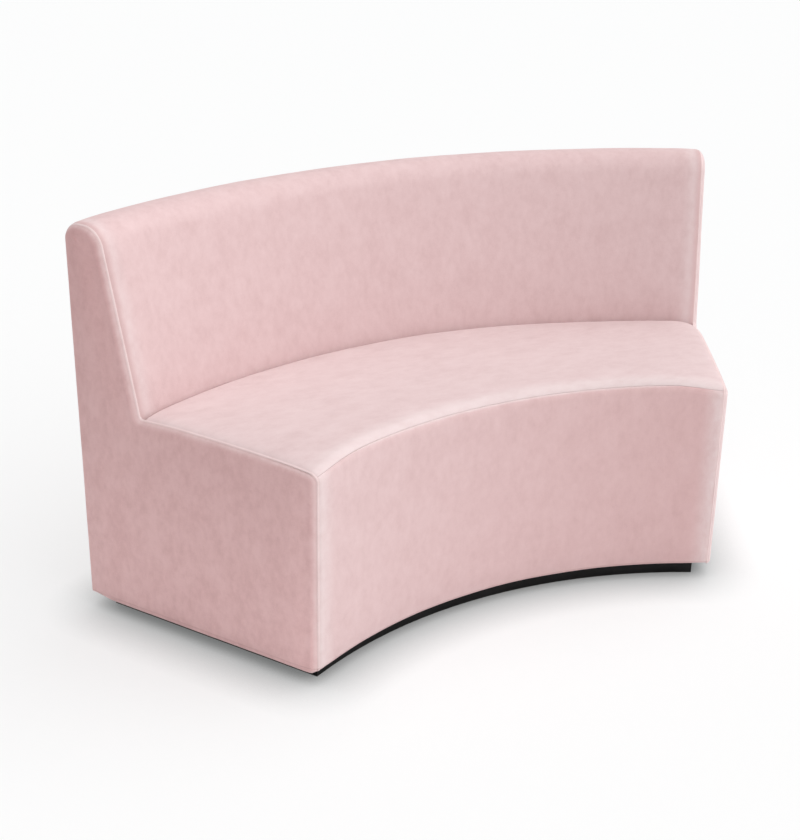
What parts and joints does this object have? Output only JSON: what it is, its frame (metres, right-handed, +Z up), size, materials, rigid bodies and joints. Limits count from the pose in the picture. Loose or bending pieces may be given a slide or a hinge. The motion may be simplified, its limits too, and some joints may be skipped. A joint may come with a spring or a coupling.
{
  "type": "curved sofa",
  "caption": "Curved sofa, one segment of a ring, with a raked tight back, no arms, fabric all over and a low black plinth set back under it.",
  "frame": {"origin": "middle of the sofa's footprint, on the floor that the plinth stands on", "axes": "+X along the sofa from its left end to its right end as a person in front sees it, +Y from the hollow front towards the back, +Z up"},
  "size_m": [1.503, 0.6966, 0.8162],
  "materials": {
    "cover_fabric": "matte short-pile upholstery fabric, pale pink",
    "foam": "matte polyurethane foam filling, pale yellow",
    "padding": "matte polyester wadding, off-white",
    "board": "matte bendable fibreboard, brown",
    "plywood": "matte bare birch plywood",
    "webbing": "matte elastic webbing, dark grey",
    "plinth_paint": "satin black painted plywood",
    "screw_steel": "satin zinc plated steel",
    "lining": "matte black dust lining"
  },
  "bodies": {
    "root": {"front_cover": "cover_fabric", "seat_cover": "cover_fabric", "back_cover": "cover_fabric", "rear_cover": "cover_fabric", "end_cover_left": "cover_fabric", "end_cover_right": "cover_fabric", "end_seam_left": "cover_fabric", "end_seam_right": "cover_fabric", "seat_foam": "foam", "back_foam": "foam", "front_foam": "foam", "rear_padding": "padding", "end_padding_left": "padding", "end_padding_right": "padding", "front_panel": "board", "inner_back_panel": "board", "outer_back_panel": "board", "end_frame_left": "plywood", "end_frame_right": "plywood", "front_low_rail": "plywood", "rear_low_rail": "plywood", "front_seat_rail": "plywood", "rear_seat_rail": "plywood", "rear_middle_rail": "plywood", "back_top_rail": "plywood", "rib_1": "plywood", "rib_2": "plywood", "rib_3": "plywood", "seat_strap_1": "webbing", "seat_strap_2": "webbing", "seat_strap_3": "webbing", "seat_strap_4": "webbing", "seat_strap_5": "webbing", "seat_strap_6": "webbing", "seat_strap_7": "webbing", "seat_strap_8": "webbing", "seat_strap_9": "webbing", "seat_strap_10": "webbing", "seat_strap_11": "webbing", "seat_strap_12": "webbing", "plinth_front_rail": "plinth_paint", "plinth_rear_rail": "plinth_paint", "plinth_end_rail_left": "plinth_paint", "plinth_end_rail_right": "plinth_paint", "plinth_cross_rail_left": "plinth_paint", "plinth_cross_rail_right": "plinth_paint", "plinth_block_front_left": "plywood", "plinth_block_front_right": "plywood", "plinth_block_rear_left": "plywood", "plinth_block_rear_right": "plywood", "plinth_screw_front_left": "screw_steel", "plinth_screw_front_right": "screw_steel", "plinth_screw_rear_left": "screw_steel", "plinth_screw_rear_right": "screw_steel", "underside_lining": "lining"}
  },
  "joints": []
}
